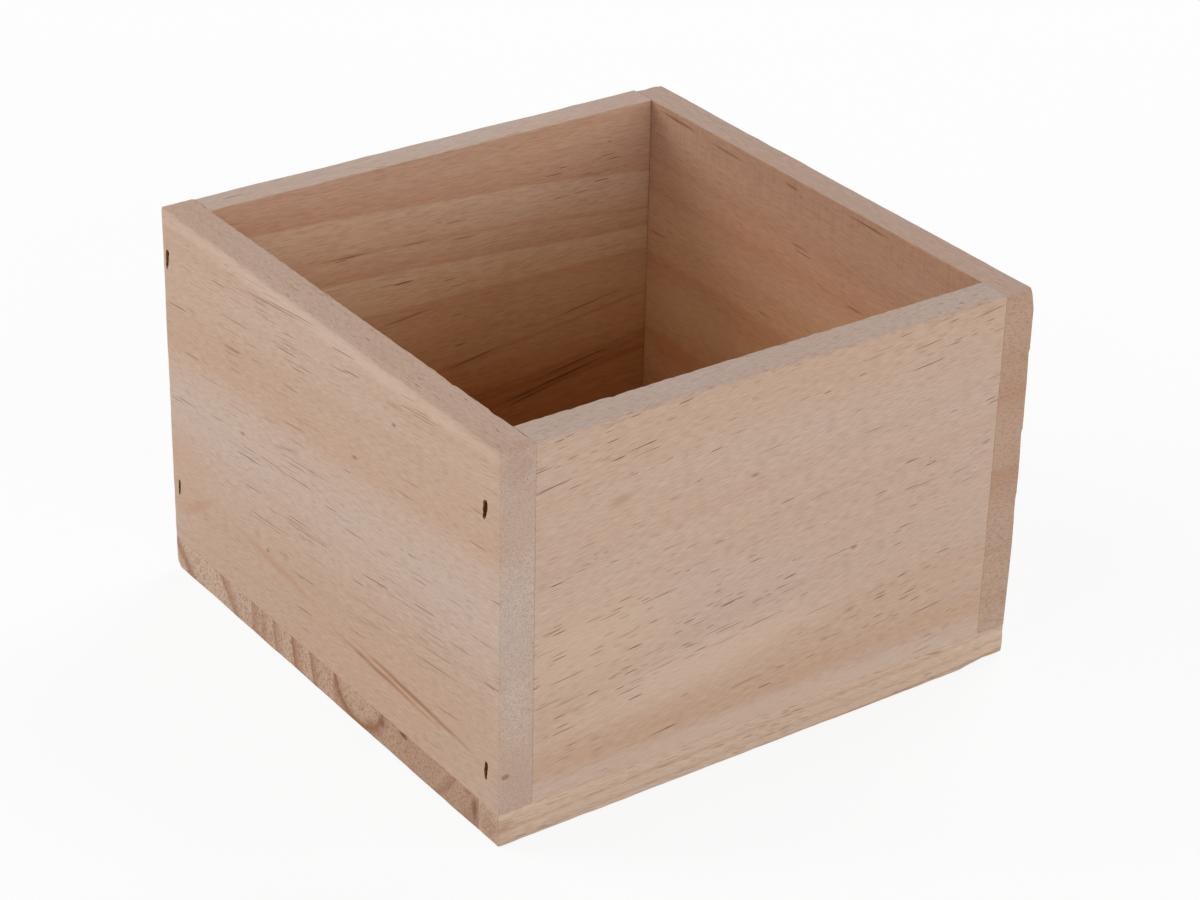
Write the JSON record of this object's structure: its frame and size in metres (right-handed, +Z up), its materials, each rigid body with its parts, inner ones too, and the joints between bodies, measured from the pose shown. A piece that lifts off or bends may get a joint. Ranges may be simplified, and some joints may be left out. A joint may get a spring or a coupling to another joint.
{
  "type": "open wooden box",
  "caption": "Open-topped square box of bare pine: side boards cap the front and back boards, all stand on a full-size bottom of glued staves, and sunk staples hold the butt joints.",
  "frame": {"origin": "centre of the underside, on the surface that the box stands on", "axes": "+X to the right along the front, +Y towards the back, +Z up"},
  "size_m": [0.15, 0.15, 0.1011],
  "materials": {
    "pine": "bare sanded pine, dry and matte",
    "staple_wire": "galvanised wire, dull"
  },
  "bodies": {
    "root": {"left_side_board": "pine", "right_side_board": "pine", "front_board": "pine", "back_board": "pine", "bottom_back_stave": "pine", "bottom_second_stave": "pine", "bottom_middle_stave": "pine", "bottom_front_stave": "pine", "bottom_front_strip": "pine", "left_staple_front_upper": "staple_wire", "left_staple_front_lower": "staple_wire", "left_staple_back_upper": "staple_wire", "left_staple_back_lower": "staple_wire", "right_staple_front_upper": "staple_wire", "right_staple_front_lower": "staple_wire", "right_staple_back_upper": "staple_wire", "right_staple_back_lower": "staple_wire", "bottom_staple_front_left": "staple_wire", "bottom_staple_front_right": "staple_wire", "bottom_staple_back_left": "staple_wire", "bottom_staple_back_right": "staple_wire", "bottom_staple_left_front": "staple_wire", "bottom_staple_left_back": "staple_wire", "bottom_staple_right_front": "staple_wire", "bottom_staple_right_back": "staple_wire"}
  },
  "joints": []
}
